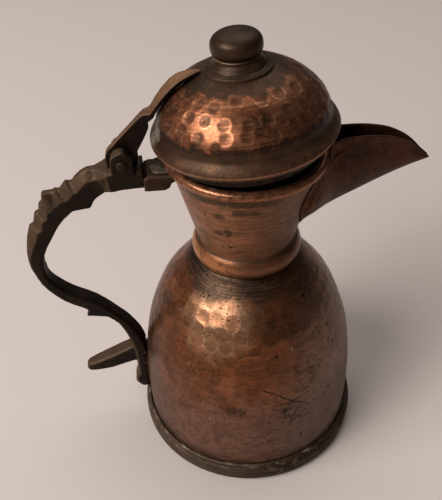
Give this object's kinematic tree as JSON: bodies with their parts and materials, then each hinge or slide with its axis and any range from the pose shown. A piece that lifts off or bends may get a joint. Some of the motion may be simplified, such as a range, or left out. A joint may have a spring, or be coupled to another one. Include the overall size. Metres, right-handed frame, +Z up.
{
  "type": "lidded jug",
  "caption": "Hammered copper jug with a hinged domed lid, round knob, open beak spout, notched cast handle and a rounded foot ring.",
  "frame": {"origin": "centre of the flat underside of the base, at table height", "axes": "+Z up along the body's axis; +X towards the spout; the handle is at -X; the hinge axis runs along Y"},
  "size_m": [0.2162, 0.136, 0.2557],
  "materials": {
    "copper_sheet": "hammered copper sheet under a brown patina, satin with bright worn spots",
    "dark_copper": "copper under a dark reddish brown patina, satin",
    "dark_bronze": "dark olive brown patina, satin, smooth from handling",
    "cast_bronze": "cast and filed bronze, dark brown with olive grey edges",
    "pin_bronze": "turned bronze, dull",
    "solder": "dull grey soft solder, lumpy",
    "solder_stained": "rough solder stained reddish olive",
    "braze": "dark brass braze"
  },
  "bodies": {
    "jug": {"base_plate": "copper_sheet", "base_solder": "solder", "foot_ring": "dark_bronze", "body_shell": "copper_sheet", "neck": "copper_sheet", "neck_solder": "solder", "rim_wire": "copper_sheet", "spout": "dark_copper", "spout_solder": "solder_stained", "handle": "cast_bronze", "handle_bracket": "cast_bronze", "bracket_solder": "solder", "tail_braze": "braze", "hinge_pin": "pin_bronze"},
    "lid": {"lid_dome": "copper_sheet", "lid_wire": "copper_sheet", "lid_seat_ring": "copper_sheet", "lid_strap": "cast_bronze", "crown_collar": "dark_copper", "knob": "dark_bronze", "knob_washer": "copper_sheet"}
  },
  "joints": [
    {"name": "lid_hinge", "type": "hinge", "parent": "jug", "child": "lid", "pos_m": [-0.0623, 0, 0.1947], "axis": [0, -1, 0], "range_deg": [0, 90]}
  ]
}
